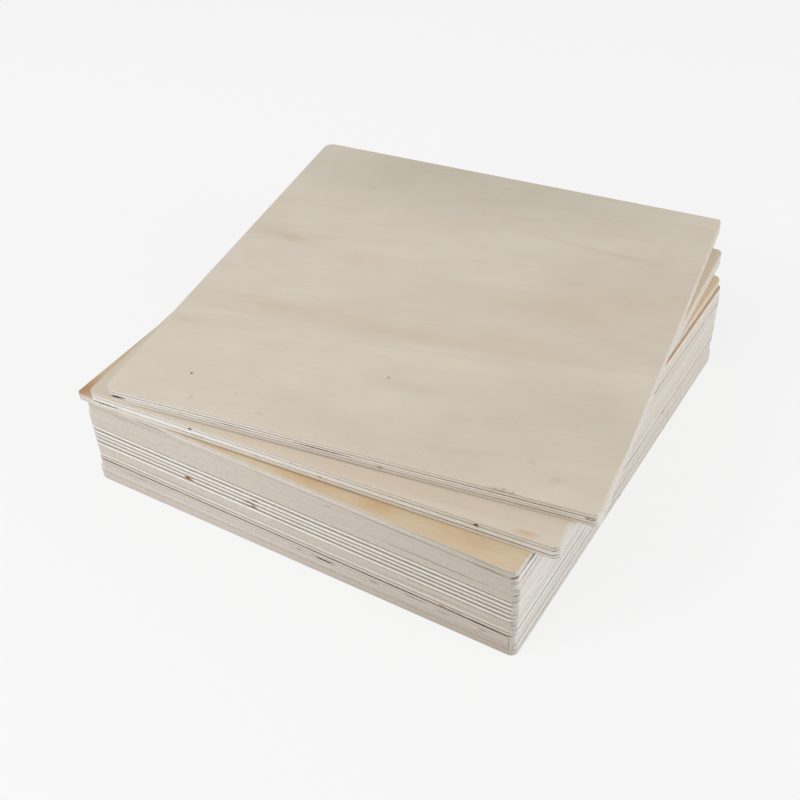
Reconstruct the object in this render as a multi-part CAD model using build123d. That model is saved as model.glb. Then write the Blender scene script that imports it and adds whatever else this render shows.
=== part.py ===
from build123d import *
import os

# A stack of ten square plywood sheets: seven squared up, one thin one over them,
# and two more laid on top, each turned a little further than the one below.
# X runs to the right along the front of the pile, Y to the back, Z up from the floor.

sheetSide = 203.2       # nominal width and depth of a sheet, an 8 inch square
rightRadius = 3.0       # the upright corners at the right, front and back
leftRadius = 4.4        # the upright corners at the left, rounded a little more
crispRadius = 1.8       # the front left corner of the thin sheet, hardly rounded
edgeEase = 0.15         # sanded slope along the top and bottom edges
fullThickness = 6.35    # five plies, sold as a quarter inch
thinThickness = 3.4     # three plies
voidDepth = 5.0         # how far a gap between the plies runs in from the edge
pinholeSize = 1.0       # width and height of a pinhole in a glue line

# Gaps where a core veneer falls short, seen on the front edges.
# along = distance of the middle from the middle of the edge, up = height above the sheet's
# underside, long and tall = size of the mouth.
topGaps = [
    dict(along=-7.1, up=3.1, long=24.0, tall=0.45),
    dict(along=-45.3, up=3.1, long=15.0, tall=0.25),
    dict(along=-97.3, up=2.6, long=8.5, tall=0.9),
    dict(along=16.2, up=1.7, long=pinholeSize * 1.6, tall=pinholeSize * 0.6),
]
secondGaps = [
    dict(along=-53.1, up=4.5, long=pinholeSize * 1.2, tall=pinholeSize),
    dict(along=69.8, up=4.7, long=pinholeSize * 1.5, tall=pinholeSize),
    dict(along=-93.7, up=2.1, long=12.0, tall=0.8),
]
seventhGaps = [
    dict(along=-19.0, up=6.0, long=6.0, tall=0.7),
]
ninthGaps = [
    dict(along=15.5, up=2.9, long=10.5, tall=0.7),
    dict(along=3.5, up=2.9, long=2.4, tall=0.4),
    dict(along=39.5, up=2.8, long=3.2, tall=0.4),
    dict(along=87.0, up=2.4, long=6.0, tall=0.5),
]

# The pile from the floor up. Sheets of one kind differ a little in thickness and in how far they
# are cut under or over the nominal side (wide, deep). Each lies a little to the right or back of
# the bottom one and is turned, in degrees, seen from above.
pile = [
    dict(name="bottom_sheet", thickness=fullThickness - 0.75, wide=-0.6, deep=0.0,
         right=0.0, back=0.0, turn=0.0),
    dict(name="ninth_sheet", thickness=fullThickness - 0.35, wide=-2.2, deep=0.0,
         right=0.15, back=0.2, turn=-0.1, gaps=ninthGaps),
    dict(name="eighth_sheet", thickness=fullThickness + 0.05, wide=-2.2, deep=0.0,
         right=0.8, back=0.0, turn=0.0),
    dict(name="seventh_sheet", thickness=fullThickness + 0.25, wide=-2.0, deep=0.0,
         right=0.8, back=0.0, turn=0.0, gaps=seventhGaps),
    dict(name="sixth_sheet", thickness=fullThickness + 0.15, wide=-1.6, deep=0.0,
         right=0.7, back=0.2, turn=0.0),
    dict(name="fifth_sheet", thickness=fullThickness - 0.25, wide=-1.2, deep=0.0,
         right=0.7, back=0.4, turn=0.0),
    dict(name="fourth_sheet", thickness=fullThickness + 0.15, wide=-2.3, deep=-1.0,
         right=1.15, back=-0.2, turn=-0.2),
    dict(name="third_sheet_thin", thickness=thinThickness, wide=-0.9, deep=-0.2,
         right=-0.35, back=0.2, turn=0.05, frontLeft=crispRadius),
    dict(name="second_sheet", thickness=fullThickness, wide=0.2, deep=-0.4,
         right=2.3, back=4.8, turn=4.2, frontLeft=rightRadius, gaps=secondGaps),
    dict(name="top_sheet", thickness=fullThickness, wide=0.6, deep=0.0,
         right=3.8, back=12.2, turn=8.6, frontLeft=rightRadius, backRight=rightRadius - 0.8,
         gaps=topGaps),
]


def plainSheet(sheet):
    # rectangular board with rounded upright corners and eased edges, standing on Z = 0
    outline = Rectangle(sheetSide + sheet["wide"], sheetSide + sheet["deep"])
    frontLeft, backLeft = outline.vertices().group_by(Axis.X)[0].sort_by(Axis.Y)
    frontRight, backRight = outline.vertices().group_by(Axis.X)[-1].sort_by(Axis.Y)
    board = extrude(outline, sheet["thickness"])
    radii = [
        (frontLeft, sheet.get("frontLeft", leftRadius)),
        (backLeft, leftRadius),
        (frontRight, rightRadius),
        (backRight, sheet.get("backRight", rightRadius)),
    ]
    for corner, radius in radii:
        uprights = board.edges().filter_by(Axis.Z)
        board = fillet(uprights.sort_by_distance(corner)[0], radius)
    faceEdges = board.faces().sort_by(Axis.Z)[-1].edges() + board.faces().sort_by(Axis.Z)[0].edges()
    return chamfer(faceEdges, edgeEase)


def plyGap(gap, frontFace):
    # round-ended slot reaching in from the front edge
    mouth = Plane.XZ.offset(frontFace - voidDepth) * Pos(gap["along"], gap["up"])
    return extrude(mouth * SlotOverall(gap["long"], gap["tall"]), voidDepth * 2)


os.makedirs("parts", exist_ok=True)
floorOfSheet = 0.0
for sheet in pile:
    board = plainSheet(sheet)
    frontFace = (sheetSide + sheet["deep"]) / 2
    for gap in sheet.get("gaps", []):
        board -= plyGap(gap, frontFace)
    laid = Pos(sheet["right"], sheet["back"], floorOfSheet) * Rot(0, 0, sheet["turn"]) * board
    export_step(laid, "parts/" + sheet["name"] + ".step")
    print(sheet["name"], "stands", round(floorOfSheet, 2), "mm up")
    floorOfSheet += sheet["thickness"]
print("the stack is", round(floorOfSheet, 2), "mm high")
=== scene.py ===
import bpy
import math
from mathutils import Matrix, Vector

# A stack of ten square plywood sheets in a plain pale studio.
# The sheets are the CAD solids as they are. Here they get their wood: sanded faces,
# sawn edges with every ply and glue line, knots, gaps and stains, each in its own place.

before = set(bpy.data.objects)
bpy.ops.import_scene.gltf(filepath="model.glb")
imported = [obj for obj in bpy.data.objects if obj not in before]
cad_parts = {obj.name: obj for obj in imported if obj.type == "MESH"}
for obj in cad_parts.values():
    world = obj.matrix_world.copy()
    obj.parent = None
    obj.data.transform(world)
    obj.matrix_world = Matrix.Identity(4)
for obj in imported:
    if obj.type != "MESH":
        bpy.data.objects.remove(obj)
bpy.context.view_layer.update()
print("frame loaded:", len(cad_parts), "sheets")


def tone(hexColour):
    # sRGB hex to the linear colour that a shader takes
    parts = [int(hexColour[i:i + 2], 16) / 255 for i in (1, 3, 5)]
    return [p / 12.92 if p <= 0.04045 else ((p + 0.055) / 1.055) ** 2.4 for p in parts] + [1.0]


def addNode(tree, kind, inputs=None, give=None, **settings):
    # one shader node: its settings, then its sockets set or linked; gives back the socket asked for
    node = tree.nodes.new("ShaderNode" + kind)
    for name, value in settings.items():
        setattr(node, name, value)
    for socket, value in (inputs or {}).items():
        if isinstance(value, bpy.types.NodeSocket):
            tree.links.new(value, node.inputs[socket])
        else:
            node.inputs[socket].default_value = value
    return node if give is None else node.outputs[give]


# Tones of the plies where they are sawn through. White is fresh long-grain veneer, plain and
# grey are end grain, glue and dark are glue lines, rust is the brown joint between two sheets.
# At a ramp's ends, where one sheet meets the next, glue, dark and rust are partly painted shade in the gap.
plyTones = dict(
    white="#f0ece6", pale="#ded6cc", plain="#cec5bb", grey="#c2b8ae", dull="#b1a79c",
    glue="#8d8276", dark="#746a5f", rust="#5d4532", tan="#d2c6ab",
)

# Tones of the marks on faces and edges. Some also paint shade in gaps and under overhanging
# edges, or light on faces that lie in shade; the marks below say which.
markTones = dict(
    cream="#dfd6c2", paleWood="#dad0bb", pinkWood="#c3ab93", brownWood="#bb9f80",
    tan="#b8946a", amber="#c1955f", orange="#a86f3a", scuffAndShade="#a99b82", ochre="#a59674",
    olive="#97957c", paintedLightWarm="#e0ceb4", honey="#e9cfaa", paintedShadeBrown="#c6a07c", fresh="#f4efe8",
    pinKnot="#2e2720", knot="#6e4a2c", rust="#5c3a20", gap="#2b221a", deep="#3c3128",
    glueLine="#5f5347", oldGlue="#8d8175", rubbed="#a9a49f", arris="#ddd7cb",
    sideGrain="#c9cccd", farGrain="#cfc8be",
)

# Soft noises: how long, wide and high a blot is in mm, and how fine its rim is. The ones on the
# grain lie along the face veneer. Sawn fibre and pores are drawn two or three times as coarse as
# they are, so that they show.
noises = dict(
    clouds=dict(size=(60, 26, 40), onGrain=True, detail=2.0, roughness=0.5),
    blotch=dict(size=(24, 15, 20), onGrain=True, detail=2.0, roughness=0.5),
    streaks=dict(size=(46, 3.4, 10), onGrain=True, detail=2.0, roughness=0.5),
    fibre=dict(size=(7, 0.8, 3), onGrain=True, detail=3.0, roughness=0.6),
    fleck=dict(size=(1.8, 1.2, 2), onGrain=True, detail=1.0, roughness=0.5),
    sway=dict(size=(34, 34, 5), onGrain=False, detail=2.0, roughness=0.5),
    uneven=dict(size=(22, 22, 0.9), onGrain=False, detail=3.0, roughness=0.5),
    sawn=dict(size=(4.0, 4.0, 0.35), onGrain=False, detail=2.0, roughness=0.6),
    pores=dict(size=(0.9, 0.9, 0.45), onGrain=False, detail=2.0, roughness=0.7),
    light=dict(size=(1.6, 1.6, 0.5), onGrain=False, detail=2.0, roughness=0.6),
    rubbed=dict(size=(0.5, 0.5, 3.0), onGrain=False, detail=2.0, roughness=0.6),
)

# What the sheets share; a sheet's own dictionary changes what differs.
# A layer is: noise, where it starts and is full, how strong, and its tone.
# The grain's turn is in degrees, and fray is how far the marks' rims wander, in mm. In the edge,
# sway is how far the plies wander up and down, and drift how much lower they lie at the right
# end than at the left, in mm. The other numbers are shares, 0 for none and 1 for full.
faceLook = dict(
    base="#d3cabb", grainTurn=8, fray=2.5,
    layers=[
        ("clouds", 0.30, 0.70, 1.00, "#cec5b5"),
        ("blotch", 0.42, 0.72, 0.35, "#cfc0ae"),
        ("streaks", 0.45, 0.75, 0.12, "#c0b29e"),
        ("fibre", 0.45, 0.80, 0.12, "#b9ab94"),
        ("fleck", 0.66, 0.80, 0.15, "#a8977d"),
    ],
)
# Lower in the pile only a narrow pale ledge of a face shows, painted paler than the face: painted light
# against the shade that falls on it.
paintedLightLedgeLook = dict(faceLook, base="#efe9df", layers=[("fibre", 0.45, 0.80, 0.20, "#e6dfd4")])
edgeLook = dict(
    base="plain", sway=0.10, drift=0.0, faded=0.30, paintedShadeTone="#ecebe7",
    sideGrain=0.35, farGrain=0.50, eased=0.0, easedTone="#ddd6ca", rubbing=0.7,
    layers=[
        ("sawn", 0.45, 0.80, 0.40, "#a2988d"),
        ("pores", 0.52, 0.82, 0.40, "#a0958b"),
        ("light", 0.52, 0.82, 0.35, "#f6efe5"),
    ],
)

# Where one look starts and the next is full. Face and ease go by how squarely the surface faces
# up or down (0 to 1), side by how much more it faces sideways than to the front (-1 to 1), corner
# by mm in from the sheet's ends, farSide by mm along its right side, the rest by a noise's value.
zones = dict(
    face=(0.80, 0.93), ease=(0.35, 0.60), side=(-0.20, 0.30), corner=(2.7, 1.6), farSide=(-60, 40),
    sway=(0.25, 0.75), uneven=(0.35, 0.75), streaked=(0.40, 0.70), rough=(0.3, 0.7),
)
paintedShadeStart = 0.3     # the painted shade on the front grows from this share of its half width left of the middle
plyMargin = 1.0      # the ply ramps reach this far under and over the sheet, in mm
faceDepth = 0.3      # how deep the marks go in from the face, in mm
edgeDepth = 3.0      # how deep they go in from an edge, in mm
edgeFray = 0.4       # how far their rims wander there, in mm
rimWaves = dict(face=(14, 4, 5), edge=(1.6, 1.6, 0.7))      # how long, wide and high the waves are, in mm
cornerIn = 1.0       # the corner's marks are centred this far in from both its sides, in mm

# How far the noises of one sheet lie from the next sheet's, one noise from the next, and the
# rims' waves of one sheet from the next sheet's, in mm, so that no two places look the same.
sheetShift = (37, 53, 1)
noiseShift = (11, 7, 1)
rimShift = (4, 0, 0)

# Matt sanded wood, a little smoother on the face than on the sawn edge. The relief is in metres.
sheen = dict(face=(0.58, 0.68), edge=0.80, ior=1.5, specular=0.25, relief=0.4, reliefDepth=0.0001)


# Poplar or basswood plywood, rotary cut, pressed, sawn square and sanded.
# To the eye: a matt cream face with soft pinkish streaks and hardly any figure, and edges
# where pale long-grain plies alternate with greyer end grain between thin brown glue lines.
def plywood(name, sheet):
    material = bpy.data.materials.new(name + "_sanded_poplar_plywood")
    material.use_nodes = True
    tree = material.node_tree
    tree.nodes.clear()
    face, edge, thick, seed = sheet["face"], sheet["edge"], sheet["thick"], sheet["seed"]
    halfX, halfY = sheet["half"]

    # millimetres in the sheet's own place: x along its front edge, y to the back, z up
    right, back, up = sheet["place"]
    here = addNode(tree, "TexCoord")
    own = addNode(tree, "Mapping", {
        "Vector": here.outputs["Object"], "Location": (right / 1000, back / 1000, up / 1000),
        "Rotation": (0, 0, math.radians(sheet["turn"])), "Scale": (0.001, 0.001, 0.001),
    }, "Vector", vector_type="TEXTURE")
    place = addNode(tree, "SeparateXYZ", {"Vector": own})

    noise = {}
    for count, (key, look) in enumerate(noises.items()):
        turn = math.radians(face["grainTurn"]) if look["onGrain"] else 0.0
        laid = addNode(tree, "Mapping", {
            "Vector": own, "Rotation": (0, 0, turn), "Scale": look["size"],
            "Location": [seed * s + count * n for s, n in zip(sheetShift, noiseShift)],
        }, "Vector", vector_type="TEXTURE")
        noise[key] = addNode(tree, "TexNoise", {
            "Vector": laid, "Scale": 1.0, "Detail": look["detail"], "Roughness": look["roughness"],
        }, "Fac")

    # which way the surface looks: up or down, or out to a side rather than to the front
    facing = addNode(tree, "SeparateXYZ", {"Vector": here.outputs["Normal"]})
    looks = {}
    for axis in "XYZ":
        looks[axis] = addNode(tree, "Math", {0: facing.outputs[axis]}, "Value", operation="ABSOLUTE")
    sideways = addNode(tree, "Math", {0: looks["X"], 1: looks["Y"]}, "Value", operation="SUBTRACT")
    turned = {}
    for zone, measured, most in (("face", looks["Z"], 1.0), ("ease", looks["Z"], edge["eased"]),
                                 ("side", sideways, 1.0)):
        low, high = zones[zone]
        turned[zone] = addNode(tree, "MapRange", {
            "Value": measured, "From Min": low, "From Max": high, "To Max": most,
        }, "Result", interpolation_type="SMOOTHSTEP")
    onFace, onEase, onSide = turned["face"], turned["ease"], turned["side"]

    # the upright corners, rubbed by handling
    reach = {}
    low, high = zones["corner"]
    for axis, half in (("X", halfX), ("Y", halfY)):
        away = addNode(tree, "Math", {0: place.outputs[axis]}, "Value", operation="ABSOLUTE")
        reach[axis] = addNode(tree, "MapRange", {
            "Value": away, "From Min": half - low, "From Max": half - high, "To Max": edge["rubbing"],
        }, "Result", interpolation_type="SMOOTHSTEP")
    onCorner = addNode(tree, "Math", {0: reach["X"], 1: reach["Y"]}, "Value", operation="MINIMUM")

    # the face
    faceTone = tone(face["base"])
    for key, low, high, most, colour in face["layers"]:
        amount = addNode(tree, "MapRange", {
            "Value": noise[key], "From Min": low, "From Max": high, "To Max": most,
        }, "Result", interpolation_type="SMOOTHSTEP")
        faceTone = addNode(tree, "Mix", {0: amount, 6: faceTone, 7: tone(colour)}, 2, data_type="RGBA")

    # the edges: plies and glue lines by their height, one set for front and back and one for
    # the sides, because every second ply shows its end grain there
    low, high = zones["sway"]
    swayed = addNode(tree, "MapRange", {
        "Value": noise["sway"], "From Min": low, "From Max": high,
        "To Min": -edge["sway"], "To Max": edge["sway"],
    }, "Result")
    drifted = addNode(tree, "Math", {
        0: place.outputs["X"], 1: edge["drift"] / (2 * halfX), 2: swayed,
    }, "Value", operation="MULTIPLY_ADD")
    height = addNode(tree, "Math", {0: place.outputs["Z"], 1: drifted}, "Value", operation="ADD")
    share = addNode(tree, "MapRange", {
        "Value": height, "From Min": -plyMargin, "From Max": thick + plyMargin,
    }, "Result")
    plies = {}
    for side in ("front", "side"):
        ramp = addNode(tree, "ValToRGB", {"Fac": share})
        stops = ramp.color_ramp.elements
        while len(stops) < len(edge[side]):
            stops.new(1.0)
        for stop, (level, ply) in zip(stops, edge[side]):
            stop.position = (level + plyMargin) / (thick + 2 * plyMargin)
            stop.color = tone(plyTones[ply])
        plies[side] = ramp.outputs["Color"]
    cut = addNode(tree, "Mix", {0: onSide, 6: plies["front"], 7: plies["side"]}, 2, data_type="RGBA")
    low, high = zones["uneven"]
    faded = addNode(tree, "MapRange", {
        "Value": noise["uneven"], "From Min": low, "From Max": high, "To Max": edge["faded"],
    }, "Result", interpolation_type="SMOOTHSTEP")
    cut = addNode(tree, "Mix", {0: faded, 6: cut, 7: tone(plyTones[edge["base"]])}, 2, data_type="RGBA")

    # a veil of grey end grain over the sides, warmer and stronger towards the back
    low, high = zones["farSide"]
    far = addNode(tree, "MapRange", {
        "Value": place.outputs["Y"], "From Min": low, "From Max": high,
    }, "Result")
    grain = addNode(tree, "Mix", {
        0: far, 6: tone(markTones["sideGrain"]), 7: tone(markTones["farGrain"]),
    }, 2, data_type="RGBA")
    veil = addNode(tree, "MapRange", {
        "Value": far, "To Min": edge["sideGrain"], "To Max": edge["farGrain"],
    }, "Result")
    veil = addNode(tree, "Math", {0: onSide, 1: veil}, "Value", operation="MULTIPLY")
    cut = addNode(tree, "Mix", {0: veil, 6: cut, 7: grain}, 2, data_type="RGBA")

    # painted shade: a darker tone towards the right end of the front, where less light falls; then rubbed
    # corners, and the sawn fibres
    shade = addNode(tree, "MapRange", {
        "Value": place.outputs["X"], "From Min": -halfX * paintedShadeStart, "From Max": halfX,
    }, "Result")
    toFront = addNode(tree, "Math", {0: 1.0, 1: onSide}, "Value", operation="SUBTRACT")
    shade = addNode(tree, "Math", {0: shade, 1: toFront}, "Value", operation="MULTIPLY")
    cut = addNode(tree, "Mix", {
        0: shade, 6: cut, 7: tone(edge["paintedShadeTone"]),
    }, 2, data_type="RGBA", blend_type="MULTIPLY")
    cut = addNode(tree, "Mix", {0: onCorner, 6: cut, 7: tone(markTones["rubbed"])}, 2, data_type="RGBA")
    for key, low, high, most, colour in edge["layers"]:
        amount = addNode(tree, "MapRange", {
            "Value": noise[key], "From Min": low, "From Max": high, "To Max": most,
        }, "Result", interpolation_type="SMOOTHSTEP")
        cut = addNode(tree, "Mix", {0: amount, 6: cut, 7: tone(colour)}, 2, data_type="RGBA")
    low, high = zones["streaked"]
    streaked = addNode(tree, "MapRange", {
        "Value": noise["rubbed"], "From Min": low, "From Max": high,
    }, "Result", interpolation_type="SMOOTHSTEP")
    streaked = addNode(tree, "Math", {0: streaked, 1: onCorner}, "Value", operation="MULTIPLY")
    cut = addNode(tree, "Mix", {0: streaked, 6: cut, 7: tone(plyTones["pale"])}, 2, data_type="RGBA")
    cut = addNode(tree, "Mix", {0: onEase, 6: cut, 7: tone(edge["easedTone"])}, 2, data_type="RGBA")
    colour = addNode(tree, "Mix", {0: onFace, 6: cut, 7: faceTone}, 2, data_type="RGBA")

    # knots, gaps, stains and streaks, each in its own place, with a rim that wanders a little
    wander = dict(face=(face["fray"], face["fray"], 0), edge=(edgeFray, edgeFray, edgeFray))
    wandered = {}
    for kind, waves in rimWaves.items():
        laid = addNode(tree, "Mapping", {
            "Vector": own, "Location": [seed * s for s in rimShift], "Scale": waves,
        }, "Vector", vector_type="TEXTURE")
        fray = addNode(tree, "TexNoise", {"Vector": laid, "Scale": 1.0, "Detail": 3.0}, "Color")
        centred = addNode(tree, "VectorMath", {0: fray, 1: (0.5, 0.5, 0.5)}, "Vector", operation="SUBTRACT")
        wandered[kind] = addNode(tree, "VectorMath", {
            0: centred, 1: wander[kind], 2: own,
        }, "Vector", operation="MULTIPLY_ADD")
    for where, along, across, halfLong, halfWide, turn, mark, strength, soft in sheet["marks"]:
        centre, size, path = {
            "face": ((along, across, thick), (halfLong, halfWide, faceDepth), wandered["face"]),
            "dot": ((along, across, thick), (halfLong, halfWide, faceDepth), own),
            "front": ((along, -halfY, across), (halfLong, edgeDepth, halfWide), wandered["edge"]),
            "crack": ((along, -halfY, across), (halfLong, edgeDepth, halfWide), own),
            "side": ((halfX, along, across), (edgeDepth, halfLong, halfWide), wandered["edge"]),
            "corner": ((halfX - cornerIn + along, cornerIn - halfY, across),
                       (halfLong, halfLong, halfWide), wandered["edge"]),
        }[where]
        spot = addNode(tree, "Mapping", {
            "Vector": path, "Location": centre, "Rotation": (0, 0, math.radians(turn)), "Scale": size,
        }, "Vector", vector_type="TEXTURE")
        away = addNode(tree, "VectorMath", {0: spot}, "Value", operation="LENGTH")
        amount = addNode(tree, "MapRange", {
            "Value": away, "From Min": 1.0, "From Max": 1.0 - soft, "To Max": strength,
        }, "Result", interpolation_type="SMOOTHSTEP")
        colour = addNode(tree, "Mix", {0: amount, 6: colour, 7: tone(markTones[mark])}, 2, data_type="RGBA")

    low, high = zones["rough"]
    smooth, coarse = sheen["face"]
    rough = addNode(tree, "MapRange", {
        "Value": noise["blotch"], "From Min": low, "From Max": high, "To Min": smooth, "To Max": coarse,
    }, "Result")
    roughness = addNode(tree, "Mix", {0: onFace, 2: sheen["edge"], 3: rough}, 0, data_type="FLOAT")
    relief = addNode(tree, "Mix", {0: onFace, 2: noise["sawn"], 3: noise["fibre"]}, 0, data_type="FLOAT")
    normal = addNode(tree, "Bump", {
        "Strength": sheen["relief"], "Distance": sheen["reliefDepth"], "Height": relief,
    }, "Normal")
    shader = addNode(tree, "BsdfPrincipled", {
        "Base Color": colour, "Roughness": roughness, "IOR": sheen["ior"],
        "Specular IOR Level": sheen["specular"], "Normal": normal,
    }, "BSDF")
    addNode(tree, "OutputMaterial", {"Surface": shader})
    return material


def finishSheet(name, sheet):
    made = plywood(name, sheet)
    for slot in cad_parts[name].material_slots:
        slot.material = made
    print("finished", name, "with", len(sheet["marks"]), "marks")


# A mark is: surface, place along and place across or up, half length, half width, turn,
# tone, strength, and how soft its rim is (1 fades from the middle), all in mm and degrees.
# Marks on the face and the front have a rim that wanders, a dot and a crack are the same with a
# clean rim, side is the right side, and corner is the upright corner nearest the camera.
topSheet = dict(
    place=(3.8, 12.2, 53.45), turn=8.6, half=(101.9, 101.6), thick=6.35, seed=1.0,
    face=dict(faceLook),
    edge=dict(
        edgeLook, base="pale", faded=0.20, eased=0.35, rubbing=0.2, paintedShadeTone="#edeae2",
        front=[
            (0.0, "dull"), (0.35, "plain"), (0.7, "plain"), (1.3, "pale"), (1.65, "glue"),
            (2.0, "pale"), (2.7, "pale"), (3.05, "dull"), (3.4, "white"), (3.8, "white"), (4.2, "dark"),
            (4.6, "pale"), (5.3, "pale"), (5.7, "grey"), (6.1, "plain"), (6.3, "tan"),
        ],
        side=[
            (0.0, "dull"), (0.4, "pale"), (1.3, "white"), (1.6, "grey"), (1.95, "pale"), (2.7, "pale"),
            (3.0, "grey"), (3.3, "white"), (4.1, "pale"), (4.4, "grey"), (4.75, "pale"), (6.2, "plain"),
        ],
    ),
    marks=[
        ("face", 5, -23, 140, 14.0, 7, "pinkWood", 0.26, 0.7),        # the broad pinkish streak
        ("face", -60, -31, 40, 5.0, 0, "pinkWood", 0.14, 1.0),
        ("face", 0, -30, 46, 6.0, 6, "pinkWood", 0.20, 0.8),
        ("face", 60, -24, 50, 5.0, 9, "brownWood", 0.14, 1.0),
        ("face", -13.5, -21.5, 34, 1.2, 10, "cream", 0.26, 1.0),      # pale lines in it
        ("face", -60, -24, 26, 1.4, 8, "cream", 0.22, 1.0),
        ("face", 22, -41.0, 48, 6.5, 6, "paleWood", 0.36, 0.8),       # paler wood below it
        ("face", -30, -47, 50, 8, 5, "paleWood", 0.25, 1.0),
        ("face", -84, -43.0, 24, 3.6, 12, "cream", 0.30, 1.0),
        ("face", -95, -52.3, 12, 3.4, 8, "tan", 0.16, 1.0),
        ("face", 55, 57, 60, 3.2, -4.6, "ochre", 0.14, 1.0),          # faint line near the back
        ("face", -90, 19.5, 17, 6.5, -8, "tan", 0.16, 1.0),           # soft tan wedge from the left edge
        ("face", -79, 18.5, 11, 4.8, -6, "tan", 0.24, 0.9),
        ("face", -45, 14, 32, 8, 4, "pinkWood", 0.14, 1.0),
        ("face", 80, 20, 70, 40, 12, "pinkWood", 0.28, 1.0),          # pinker wood at the right
        ("face", 96, 34, 9, 4, 4, "tan", 0.14, 1.0),
        ("face", 20, 2, 80, 20, 12, "pinkWood", 0.24, 1.0),
        ("face", 10, -60, 22, 5, 5, "pinkWood", 0.25, 1.0),
        ("face", 75, -66, 90, 46, 0, "ochre", 0.17, 1.0),
        ("face", 10, -92, 110, 22, 0, "ochre", 0.09, 1.0),
        ("face", -10, 95, 130, 50, 0, "olive", 0.24, 1.0),            # duller and darker towards the back: olive wood, with painted shade where less light reaches
        ("face", -60, 85, 70, 40, 0, "olive", 0.12, 1.0),
        ("dot", 101.8, -88, 24, 1.2, 90, "arris", 0.60, 0.6),         # right arris rubbed pale
        ("dot", -73.7, -82.4, 0.65, 0.65, 0, "pinKnot", 0.95, 0.5),   # two pin knots
        ("dot", 1.2, -57.8, 1.2, 1.0, 0, "knot", 0.45, 0.9),
        ("face", -63, 70.5, 5, 1.6, 5, "scuffAndShade", 0.28, 1.0),           # scuffs
        ("face", 70.3, -83.8, 3, 2, 0, "scuffAndShade", 0.28, 1.0),
        ("face", 82, -89.8, 5, 3.2, 30, "scuffAndShade", 0.25, 1.0),
        ("face", -67, -95.5, 1.6, 2.4, 0, "scuffAndShade", 0.28, 1.0),
        ("face", -37.3, -94.8, 3, 1.3, 10, "scuffAndShade", 0.28, 1.0),
        ("front", -7.0, 3.1, 15, 0.45, 0, "gap", 0.85, 0.6),          # core gap and its dark rim
        ("front", -45, 3.1, 10, 0.36, 0, "deep", 0.75, 0.7),
        ("front", -40, 3.05, 60, 0.30, 0, "oldGlue", 0.70, 0.9),
        ("crack", 16.5, 1.75, 1.6, 0.50, 0, "deep", 0.90, 0.6),
        ("crack", -97.2, 2.6, 4.0, 0.80, 0, "rust", 0.90, 0.5),
        ("front", 65.5, 6.1, 9, 0.35, 0, "glueLine", 0.70, 0.8),
        ("front", 70, 4.4, 45, 0.36, 0, "glueLine", 0.60, 0.9),
        ("front", 80, 1.65, 30, 0.36, 0, "glueLine", 0.60, 0.9),
        ("crack", 98.4, 3.5, 2.8, 0.65, 0, "deep", 0.85, 0.5),        # small lens of wood in the corner
        ("crack", 98.5, 3.6, 1.9, 0.32, 0, "paleWood", 0.90, 0.6),
        ("side", -100.2, 3.2, 2.4, 5.0, 0, "arris", 0.70, 0.6),       # the corner's right half is pale
    ],
)
finishSheet("top_sheet", topSheet)

secondSheet = dict(
    place=(2.3, 4.8, 47.1), turn=4.2, half=(101.7, 101.4), thick=6.35, seed=2.0,
    face=dict(faceLook, base="#d2c5b4", grainTurn=5),
    edge=dict(
        edgeLook, base="pale", faded=0.20, eased=0.25, rubbing=0.2, paintedShadeTone="#ebe8e3",
        front=[
            (0.0, "plain"), (0.4, "pale"), (1.1, "pale"), (1.55, "white"), (1.9, "dark"),
            (2.25, "white"), (3.0, "white"), (3.3, "pale"), (3.7, "white"), (3.9, "white"),
            (4.25, "dark"), (4.6, "white"), (5.2, "pale"), (5.6, "grey"), (6.0, "plain"), (6.3, "tan"),
        ],
        side=[
            (0.0, "dull"), (0.4, "pale"), (1.6, "white"), (1.95, "grey"), (2.3, "pale"), (3.4, "plain"),
            (4.3, "white"), (4.65, "grey"), (5.0, "pale"), (6.2, "plain"),
        ],
    ),
    marks=[
        ("dot", 9.8, -94.0, 105, 1.2, 4.4, "deep", 0.35, 1.0),        # shade under the top sheet's edge
        ("dot", 101.4, -84, 22, 1.7, 90, "arris", 0.60, 0.6),         # right arris rubbed pale
        # painted shade where the top sheet's edge crosses over this right edge
        ("dot", 100.8, -84.5, 3.5, 1.3, 90, "scuffAndShade", 0.70, 0.9),
        ("face", 99, 55, 14, 75, 0, "paintedLightWarm", 0.75, 0.8),           # painted light: lighter at the back right, against the shade of the sheet above
        ("dot", 88.5, -99.0, 7, 2.2, 4, "amber", 0.50, 1.0),
        ("face", 40, -97, 70, 5, 3, "brownWood", 0.20, 1.0),
        ("crack", -53.1, 4.3, 1.5, 0.50, 0, "deep", 0.85, 0.6),       # pin knots in the edge
        ("crack", 69.8, 4.0, 2.6, 1.1, 0, "tan", 0.60, 0.9),
        ("crack", 69.8, 4.4, 1.9, 0.55, 0, "deep", 0.85, 0.6),
        ("crack", 4.9, 2.05, 1.0, 0.5, 0, "deep", 0.80, 0.7),
        ("front", -94, 2.05, 7.0, 0.50, 0, "deep", 0.85, 0.6),
        ("front", -50, 1.85, 24, 0.40, 0, "glueLine", 0.70, 1.0),
        ("front", 70, 1.85, 80, 0.42, 0, "deep", 0.75, 1.0),          # glue lines darker to the right
        ("front", 60, 4.25, 80, 0.36, 0, "glueLine", 0.70, 1.0),
        ("front", 40, 0.2, 80, 0.50, 0, "tan", 0.30, 0.9),            # warm shade where it overhangs
        ("corner", 0, 1.9, 2.8, 0.36, 0, "glueLine", 0.75, 0.8),
        ("corner", 0, 4.25, 2.8, 0.36, 0, "glueLine", 0.75, 0.8),
        ("corner", 0, 5.6, 2.8, 0.34, 0, "glueLine", 0.60, 0.8),
        ("corner", 0, 0.4, 2.8, 0.34, 0, "glueLine", 0.60, 0.8),
    ],
)
finishSheet("second_sheet", secondSheet)

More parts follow.
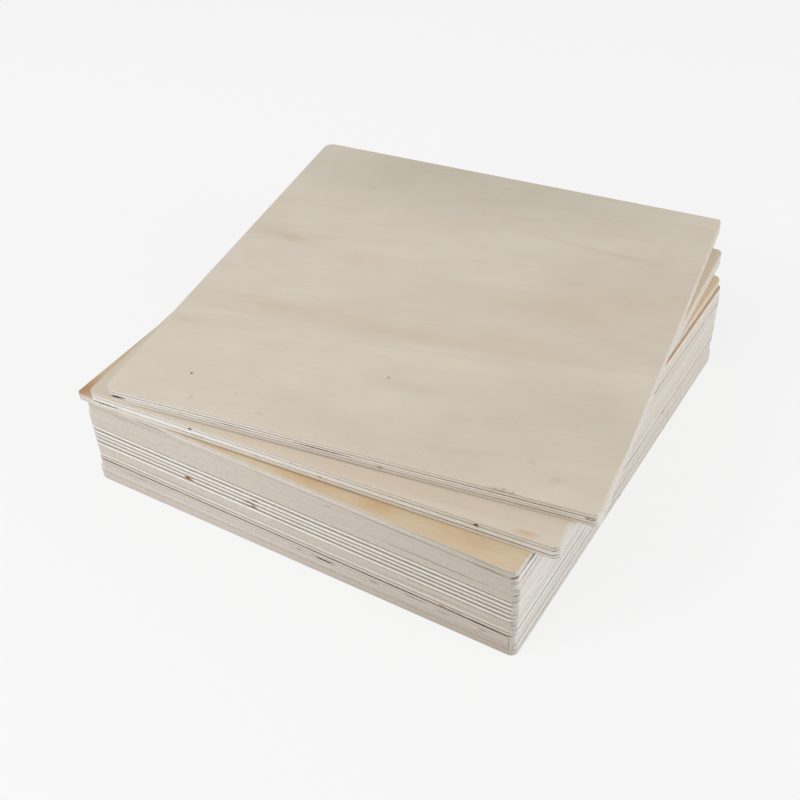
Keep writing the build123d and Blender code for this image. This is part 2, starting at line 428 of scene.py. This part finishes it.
thirdSheetThin = dict(
    place=(-0.35, 0.2, 43.7), turn=0.05, half=(101.15, 101.5), thick=3.4, seed=3.0,
    face=dict(faceLook, base="#d0bfa3", grainTurn=2, layers=[
        ("clouds", 0.30, 0.70, 0.80, "#c9b498"),
        ("blotch", 0.42, 0.72, 0.40, "#c9ae8a"),
        ("streaks", 0.45, 0.75, 0.20, "#c2a67e"),
        ("fibre", 0.45, 0.80, 0.18, "#b89d78"),
    ]),
    edge=dict(
        edgeLook, base="plain", rubbing=0.3,
        front=[
            (-0.4, "glue"), (0.05, "dull"), (0.4, "plain"), (1.0, "pale"), (1.25, "plain"),
            (1.5, "pale"), (2.1, "pale"), (2.4, "grey"), (2.7, "plain"), (3.15, "plain"), (3.4, "tan"),
        ],
        side=[
            (0.0, "glue"), (0.3, "plain"), (1.1, "pale"), (1.25, "grey"), (1.5, "pale"), (2.3, "plain"),
            (2.7, "plain"), (3.25, "tan"),
        ],
    ),
    marks=[
        ("dot", 9.65, -96.5, 106, 1.4, 4.15, "deep", 0.50, 1.0),      # shade under the second sheet's edge
        ("face", 8, -97, 22, 6, 0, "amber", 0.35, 1.0),               # warmer bands by the front edge
        ("face", 40, -96, 14, 7, 0, "amber", 0.45, 1.0),
        ("face", 82, -95, 12, 6, 0, "amber", 0.20, 1.0),
        ("face", -101, -98, 12, 13, 0, "orange", 0.72, 1.0),          # painted shade: a warm dark margin at the left, under the two sheets above
        # painted shade along the whole left edge, under the sheets above
        ("face", -102, 0, 7, 130, 0, "scuffAndShade", 0.70, 1.0),
        ("face", 99, 60, 14, 75, 0, "honey", 0.75, 0.8),              # painted light: lighter at the back right, against the shade of the sheet above
        ("front", -62, 1.05, 14, 0.60, 0, "glueLine", 0.65, 0.9),     # a brown line that bows up
        ("front", 90, 2.05, 18, 0.22, 0, "glueLine", 0.75, 0.9),
        ("front", 90, 0.05, 15, 0.24, 0, "deep", 0.85, 0.7),          # painted shade in the gap under this sheet, dark only towards the corner
        ("front", 60, 0.0, 30, 0.22, 0, "oldGlue", 0.60, 0.9),
        ("front", 78, 2.65, 45, 0.24, 0, "glueLine", 0.60, 0.9),
        ("front", 80, 1.35, 40, 0.22, 0, "glueLine", 0.55, 0.9),
        # painted shade in the gap under this sheet, round the corner and along the right side near the
        # front
        ("corner", 0, 0.0, 3.4, 0.22, 0, "deep", 0.85, 0.6),
        ("side", -82, 0.0, 22, 0.26, 0, "gap", 0.95, 0.5),
    ],
)
finishSheet("third_sheet_thin", thirdSheetThin)

fourthSheet = dict(
    place=(1.15, -0.2, 37.2), turn=-0.2, half=(100.45, 101.1), thick=6.5, seed=4.0,
    face=dict(faceLook, base="#e6dccb", layers=[("fibre", 0.45, 0.80, 0.30, "#cdbba0")]),
    edge=dict(
        edgeLook, drift=0.2,
        front=[
            (-0.3, "grey"), (0.2, "plain"), (3.9, "plain"), (4.2, "grey"), (4.5, "plain"),
            (6.2, "plain"), (6.5, "dull"), (7.0, "glue"),
        ],
        side=[
            (0.0, "pale"), (2.7, "pale"), (3.0, "plain"), (3.3, "pale"), (5.7, "white"),
            (6.35, "white"), (6.6, "pale"),
        ],
    ),
    marks=[
        ("dot", 99.9, -70, 30, 0.60, 90, "gap", 0.95, 0.3),           # deep shade behind the thin sheet
        # painted shade in the gap under the thin sheet's front edge, round its right corner
        ("dot", 90, -101.1, 13, 0.4, 0, "rust", 0.60, 0.6),
        ("dot", 60, -101.0, 40, 0.5, 0, "oldGlue", 0.50, 0.8),
        ("dot", 99.5, -100.1, 4.5, 1.0, 45, "rust", 0.75, 0.5),
        ("dot", 100.0, 74, 62, 1.8, 90, "paintedShadeBrown", 0.75, 0.5),          # painted shade: a brown strip further back, beside the thin sheet above
        ("side", -90, 3.4, 16, 0.45, 0, "gap", 0.85, 0.8),
        ("front", 20, 4.1, 3, 0.35, 0, "glueLine", 0.70, 1.0),
        ("front", 24, 0.0, 4, 0.35, 0, "glueLine", 0.65, 1.0),
        ("front", -60, 5.4, 60, 0.9, 0, "tan", 0.16, 1.0),            # duller upper plies at the left
        ("front", -76, 4.8, 28, 0.36, 0, "oldGlue", 0.65, 1.0),
        ("corner", 0, 0.1, 2.6, 0.40, 0, "glueLine", 0.75, 0.8),      # nick in the joint at the corner
        ("corner", 0, 4.6, 3.0, 0.60, 0, "oldGlue", 0.40, 1.0),
    ],
)
finishSheet("fourth_sheet", fourthSheet)

fifthSheet = dict(
    place=(0.7, 0.4, 31.1), turn=0, half=(101.0, 101.6), thick=6.1, seed=5.0,
    face=paintedLightLedgeLook,
    edge=dict(
        edgeLook, drift=0.4,
        front=[
            (-0.3, "grey"), (0.2, "plain"), (3.3, "plain"), (3.6, "grey"), (3.9, "plain"),
            (5.8, "plain"), (6.2, "grey"), (6.6, "plain"),
        ],
        side=[
            (0.0, "pale"), (1.5, "white"), (1.9, "plain"), (2.3, "pale"), (2.8, "pale"), (3.2, "plain"),
            (3.6, "white"), (5.2, "pale"), (5.5, "plain"), (5.8, "pale"),
        ],
    ),
    marks=[
        ("front", 57.6, 4.3, 14, 0.50, 0, "ochre", 0.35, 1.0),
        ("front", 68, 3.4, 40, 0.32, 0, "glueLine", 0.80, 0.9),
        ("side", 24, 5.25, 15, 0.42, 0, "deep", 0.90, 0.6),           # a dark line that sinks to the back
        ("side", 41, 4.75, 15, 0.40, 0, "deep", 0.80, 0.8),
        ("side", 58, 4.3, 16, 0.40, 0, "deep", 0.80, 0.8),
        ("side", 76, 3.95, 17, 0.40, 0, "deep", 0.80, 0.8),
        ("side", 94, 3.75, 16, 0.40, 0, "glueLine", 0.85, 0.8),
        ("side", 26, 1.8, 14, 0.38, 0, "glueLine", 0.60, 0.9),
        ("side", 44, 1.25, 18, 0.38, 0, "glueLine", 0.60, 0.9),
        ("side", 68, 0.75, 22, 0.38, 0, "glueLine", 0.55, 0.9),
        ("corner", 0, 3.2, 2.2, 0.60, 0, "deep", 0.60, 0.9),
        ("corner", 0, 5.1, 2.2, 0.35, 0, "glueLine", 0.60, 0.9),
    ],
)
finishSheet("fifth_sheet", fifthSheet)

sixthSheet = dict(
    place=(0.7, 0.2, 24.6), turn=0, half=(100.8, 101.6), thick=6.5, seed=6.0,
    face=paintedLightLedgeLook,
    edge=dict(
        edgeLook, drift=0.73, faded=0.12,
        front=[
            (-0.7, "pale"), (-0.3, "dark"), (0.1, "dull"), (0.45, "white"), (0.95, "white"),
            (1.3, "grey"), (1.65, "glue"), (2.05, "grey"), (2.5, "white"), (3.2, "white"),
            (3.65, "dull"), (4.08, "dark"), (4.5, "dull"), (4.95, "white"), (5.55, "white"),
            (5.95, "grey"), (6.3, "glue"), (6.7, "grey"),
        ],
        side=[
            (0.0, "pale"), (2.1, "pale"), (2.6, "white"), (3.1, "plain"), (3.5, "white"), (5.0, "pale"),
            (5.3, "plain"), (5.7, "pale"), (6.4, "grey"),
        ],
    ),
    marks=[
        ("front", 48.7, 3.3, 9, 0.6, 0, "ochre", 0.35, 1.0),
        ("front", 70, 1.4, 60, 0.38, 0, "glueLine", 0.60, 1.0),
        ("crack", -15.6, 2.0, 2.6, 0.42, 0, "deep", 0.90, 0.6),
        ("corner", 0, 6.2, 2.2, 0.35, 0, "glueLine", 0.70, 0.8),
    ],
)
finishSheet("sixth_sheet", sixthSheet)

seventhSheet = dict(
    place=(0.8, 0.0, 18.0), turn=0, half=(100.6, 101.6), thick=6.6, seed=7.0,
    face=paintedLightLedgeLook,
    edge=dict(
        edgeLook, drift=0.75, faded=0.15,
        front=[
            (0.0, "plain"), (1.5, "plain"), (1.9, "grey"), (2.25, "pale"), (2.6, "white"),
            (3.2, "white"), (3.7, "dull"), (4.12, "dark"), (4.55, "dull"), (5.0, "white"),
            (5.6, "white"), (6.05, "dull"), (6.4, "glue"), (6.85, "dull"),
        ],
        side=[
            (0.0, "pale"), (0.4, "plain"), (0.8, "dark"), (1.2, "plain"), (1.6, "white"),
            (2.1, "white"), (2.5, "pale"), (3.0, "dull"), (3.5, "plain"), (4.1, "pale"), (4.6, "white"),
            (5.2, "pale"), (6.2, "pale"),
        ],
    ),
    marks=[
        ("crack", -48.9, 5.2, 3.1, 1.30, 0, "orange", 0.75, 0.5),     # brown knot with a black core
        ("crack", -49.3, 5.5, 1.7, 0.75, 0, "gap", 0.95, 0.7),
        ("crack", -18.9, 6.3, 3.4, 0.42, 0, "gap", 0.95, 0.6),
        ("crack", -16.4, 5.3, 2.2, 1.0, 0, "knot", 0.60, 0.8),
        ("crack", -18.5, 4.45, 5.5, 0.42, 0, "deep", 0.75, 0.8),
        ("front", 75, 1.6, 60, 0.35, 0, "glueLine", 0.75, 1.0),
        ("front", 0, 1.8, 11, 0.30, 0, "oldGlue", 0.70, 0.9),
        ("front", 19, 1.8, 5, 0.30, 0, "oldGlue", 0.75, 0.9),
        ("side", -72, 0.35, 36, 0.30, 0, "deep", 0.45, 0.9),          # plies stand out at the near corner
        ("side", -72, 1.45, 36, 0.40, 0, "fresh", 0.60, 0.9),
        ("side", -72, 2.55, 36, 0.30, 0, "deep", 0.30, 0.9),
        ("corner", 0, 3.5, 2.0, 0.30, 0, "deep", 0.60, 0.8),
        ("corner", 0, 5.4, 2.0, 0.30, 0, "glueLine", 0.60, 0.8),
    ],
)
finishSheet("seventh_sheet", seventhSheet)

eighthSheet = dict(
    place=(0.8, 0.0, 11.6), turn=0, half=(100.5, 101.6), thick=6.4, seed=8.0,
    face=paintedLightLedgeLook,
    edge=dict(
        edgeLook, drift=0.9, faded=0.2,
        front=[
            (-0.55, "plain"), (-0.25, "rust"), (0.3, "rust"), (0.65, "plain"), (1.15, "pale"),
            (1.6, "plain"), (2.0, "glue"), (2.4, "plain"), (2.8, "pale"), (3.1, "white"), (3.4, "pale"),
            (3.8, "plain"), (4.35, "grey"), (4.8, "plain"), (6.4, "plain"),
        ],
        side=[
            (0.0, "pale"), (0.25, "pale"), (0.55, "glue"), (0.9, "pale"), (1.5, "white"),
            (2.1, "white"), (2.5, "pale"), (2.95, "grey"), (3.35, "glue"), (3.8, "grey"), (4.3, "pale"),
            (5.7, "white"), (6.3, "white"),
        ],
    ),
    marks=[
        ("crack", 69.5, 0.4, 2.8, 1.1, 0, "orange", 0.75, 0.9),       # resin stain over the joint
        ("front", 75, 0.9, 4.5, 0.35, 0, "knot", 0.70, 0.9),
        ("front", 65, 4.9, 45, 0.40, 0, "oldGlue", 0.65, 1.0),
        ("front", 70, 5.8, 45, 0.45, 0, "cream", 0.35, 1.0),
        ("front", -55, 4.5, 52, 0.35, 0, "oldGlue", 0.50, 1.0),
        ("side", -72, 0.15, 36, 0.32, 0, "deep", 0.55, 0.9),
        ("side", -72, 1.40, 36, 0.42, 0, "fresh", 0.60, 0.9),
        ("side", -72, 2.80, 36, 0.38, 0, "deep", 0.50, 0.9),
        ("side", -72, 5.60, 36, 0.42, 0, "fresh", 0.60, 0.9),
        ("side", 5, 2.4, 16, 0.42, 0, "glueLine", 0.65, 0.9),
        ("side", 62, 2.1, 48, 0.36, 0, "oldGlue", 0.50, 0.9),
        ("side", 39, 2.1, 2.0, 0.55, 0, "gap", 0.85, 0.7),
        # painted shade along the joint under this sheet, where it overhangs the ninth
        ("side", 10, -0.1, 34, 0.36, 0, "glueLine", 0.75, 0.9),
        ("corner", 0, 0.0, 3.4, 0.35, 0, "rust", 0.75, 0.7),
        ("crack", 98.5, 0.05, 5.5, 0.30, 0, "amber", 0.55, 0.8),
        ("corner", 0, 5.8, 2.0, 0.35, 0, "glueLine", 0.60, 0.8),
        ("corner", 0, 3.4, 2.0, 0.35, 0, "glueLine", 0.55, 0.8),
    ],
)
finishSheet("eighth_sheet", eighthSheet)

ninthSheet = dict(
    place=(0.15, 0.2, 5.6), turn=-0.1, half=(100.5, 101.6), thick=6.0, seed=9.0,
    face=paintedLightLedgeLook,
    edge=dict(
        edgeLook, drift=0.9,
        front=[
            (0.0, "plain"), (0.5, "pale"), (1.0, "plain"), (1.3, "dull"), (1.7, "plain"), (2.4, "pale"),
            (2.8, "dull"), (3.2, "pale"), (3.8, "plain"), (4.1, "dull"), (4.5, "plain"), (4.95, "pale"),
            (5.3, "plain"), (5.6, "rust"), (6.15, "rust"), (6.6, "plain"),
        ],
        side=[
            (0.0, "pale"), (1.8, "white"), (2.2, "plain"), (2.6, "pale"), (4.0, "pale"), (4.4, "plain"),
            (4.8, "pale"), (5.9, "pale"),
        ],
    ),
    marks=[
        ("crack", 85, 5.6, 6.5, 0.36, 0, "gap", 0.80, 0.8),
        ("front", 15.8, 2.75, 7.5, 0.55, 0, "gap", 0.95, 0.6),
        ("front", 4.5, 2.8, 3.0, 0.40, 0, "deep", 0.75, 0.8),
        ("front", 39.5, 2.7, 3.4, 0.42, 0, "deep", 0.80, 0.8),
        ("crack", 87.5, 2.4, 4.2, 0.42, 0, "gap", 0.90, 0.7),
        ("front", 70.5, 2.45, 5.5, 0.40, 0, "deep", 0.80, 0.9),
        ("front", 58, 3.8, 8.0, 0.38, 0, "deep", 0.85, 0.9),
        ("front", 36, 4.0, 16, 0.28, 0, "oldGlue", 0.50, 1.0),
        ("front", 88, 1.05, 11, 0.30, 0, "oldGlue", 0.70, 0.9),       # fine plies crowd at the right
        ("front", 88, 1.6, 11, 0.26, 0, "cream", 0.50, 0.9),
        ("front", 88, 0.4, 11, 0.26, 0, "cream", 0.50, 0.9),
        ("front", -78, 3.2, 18, 0.36, 0, "glueLine", 0.85, 1.0),
        ("crack", 98.6, 1.4, 0.3, 3.0, 0, "glueLine", 0.60, 0.8),     # a crack up the corner
        ("side", -72, 3.40, 36, 0.42, 0, "fresh", 0.50, 0.9),
        ("front", -60, 1.3, 70, 1.7, 0, "sideGrain", 0.30, 0.8),
        ("corner", 0, 5.6, 3.5, 0.35, 0, "rust", 0.75, 0.8),
        ("crack", 98.5, 5.85, 5.5, 0.34, 0, "amber", 0.60, 0.8),      # the joint, lighter at the corner
    ],
)
finishSheet("ninth_sheet", ninthSheet)

bottomSheet = dict(
    place=(0, 0, 0), turn=0, half=(101.3, 101.6), thick=5.6, seed=10.0,
    face=dict(paintedLightLedgeLook, base="#e2e0dc", layers=[]),
    edge=dict(
        edgeLook, drift=0.9, paintedShadeTone="#dfddd8",
        front=[
            (0.0, "dull"), (0.4, "plain"), (1.0, "plain"), (1.3, "grey"), (1.7, "plain"),
            (3.5, "plain"), (4.0, "dull"), (4.5, "plain"), (5.5, "plain"),
        ],
        side=[
            (0.0, "grey"), (0.5, "pale"), (1.1, "pale"), (1.35, "grey"), (1.7, "pale"), (2.9, "pale"),
            (3.3, "glue"), (3.7, "pale"), (4.2, "white"), (4.7, "pale"), (5.2, "white"), (5.7, "pale"),
        ],
    ),
    marks=[
        ("front", 88, 5.5, 11, 0.28, 0, "oldGlue", 0.75, 0.9),
        ("front", 88, 5.0, 11, 0.24, 0, "cream", 0.40, 0.9),
        ("side", -82, 2.9, 34, 0.38, 0, "deep", 0.85, 0.9),
        ("side", -72, 4.2, 36, 0.40, 0, "fresh", 0.60, 0.9),
        ("side", -6, 0.8, 2.2, 0.6, 0, "deep", 0.80, 0.8),
        ("dot", 100.4, -100.7, 5.0, 1.4, 45, "rubbed", 0.60, 0.6),
        ("crack", 98.7, 5.2, 0.3, 1.6, 0, "glueLine", 0.60, 0.8),
    ],
)
finishSheet("bottom_sheet", bottomSheet)

# One pale studio floor that keeps the pile's soft shadow. Matt painted, and to the camera mostly
# its own plain tone; the share that is lit carries the shadow.
studio = dict(
    floorHalf=6.0, floorTone="#f8f8f8", litTone="#f2f2f2", floorShow=0.84, skyTone="#f6f6f6", skyLight=0.62,
)
bpy.ops.mesh.primitive_plane_add(size=studio["floorHalf"] * 2, location=(0, 0, 0))
floor = bpy.context.object
floor.name = "studio_floor"
paint = bpy.data.materials.new("matt_painted_studio_floor")
paint.use_nodes = True
sky = bpy.data.worlds.new("studio_sky")
sky.use_nodes = True
bpy.context.scene.world = sky
for tree in (paint.node_tree, sky.node_tree):
    tree.nodes.clear()
    ray = addNode(tree, "LightPath")
    seen = ray.outputs["Is Camera Ray"]
    for kind in ("Is Glossy Ray", "Is Transmission Ray"):
        seen = addNode(tree, "Math", {0: seen, 1: ray.outputs[kind]}, "Value", operation="MAXIMUM")
    if tree == paint.node_tree:
        share = addNode(tree, "Math", {0: seen, 1: studio["floorShow"]}, "Value", operation="MULTIPLY")
        lit = addNode(tree, "BsdfDiffuse", {"Color": tone(studio["litTone"])}, "BSDF")
        plain = addNode(tree, "Emission", {
            "Color": tone(studio["floorTone"]), "Strength": 1.0,
        }, "Emission")
        both = addNode(tree, "MixShader", {0: share, 1: lit, 2: plain}, "Shader")
        addNode(tree, "OutputMaterial", {"Surface": both})
    else:
        glow = addNode(tree, "Background", {
            "Color": (1, 1, 1, 1), "Strength": studio["skyLight"],
        }, "Background")
        plain = addNode(tree, "Background", {
            "Color": tone(studio["skyTone"]), "Strength": 1.0,
        }, "Background")
        both = addNode(tree, "MixShader", {0: seen, 1: glow, 2: plain}, "Shader")
        addNode(tree, "OutputWorld", {"Surface": both})
floor.data.materials.append(paint)
print("floor and sky made")

# two big softboxes: the key from the front left, and a lower one for the right side
lamps = dict(
    key=dict(place=(-0.40, -0.65, 0.75), aim=(0.0, 0.0, 0.04), size=0.7, power=4.8),
    right=dict(place=(1.25, 0.05, 0.45), aim=(0.05, 0.05, 0.03), size=0.9, power=6.0),
)
for name, lamp in lamps.items():
    light = bpy.data.lights.new(name + "_softbox", "AREA")
    light.shape = "SQUARE"
    light.size = lamp["size"]
    light.energy = lamp["power"]
    box = bpy.data.objects.new(name + "_softbox", light)
    box.location = lamp["place"]
    aim = Vector(lamp["aim"]) - Vector(lamp["place"])
    box.rotation_euler = aim.to_track_quat("-Z", "Y").to_euler()
    bpy.context.scene.collection.objects.link(box)
print("lamps made")

# camera at the photograph's own angle, 28 degrees to the right of the front and 41 above
shot = dict(azimuth=27.848, elevation=41.026, distance=0.5835, target=(0.02524, 0.02873, 0.0), roll=0.643,
            lens=56.346, sensor=36, shift=(-0.12546, -0.00739), nearest=0.01)
azimuth, elevation, roll = (math.radians(shot[k]) for k in ("azimuth", "elevation", "roll"))
back = Vector((
    math.sin(azimuth) * math.cos(elevation), -math.cos(azimuth) * math.cos(elevation), math.sin(elevation),
))
across = Vector((0, 0, 1)).cross(back).normalized()
above = back.cross(across)
rightward = math.cos(roll) * across + math.sin(roll) * above
upward = -math.sin(roll) * across + math.cos(roll) * above
lens = bpy.data.cameras.new("camera")
lens.sensor_width = shot["sensor"]
lens.lens = shot["lens"]
lens.shift_x, lens.shift_y = shot["shift"]
lens.clip_start = shot["nearest"]
camera = bpy.data.objects.new("camera", lens)
bpy.context.scene.collection.objects.link(camera)
turn = Matrix((rightward, upward, back)).transposed()
camera.matrix_world = Matrix.Translation(Vector(shot["target"]) + back * shot["distance"]) @ turn.to_4x4()
bpy.context.scene.camera = camera
bpy.context.scene.view_settings.view_transform = "Standard"
print("camera made")
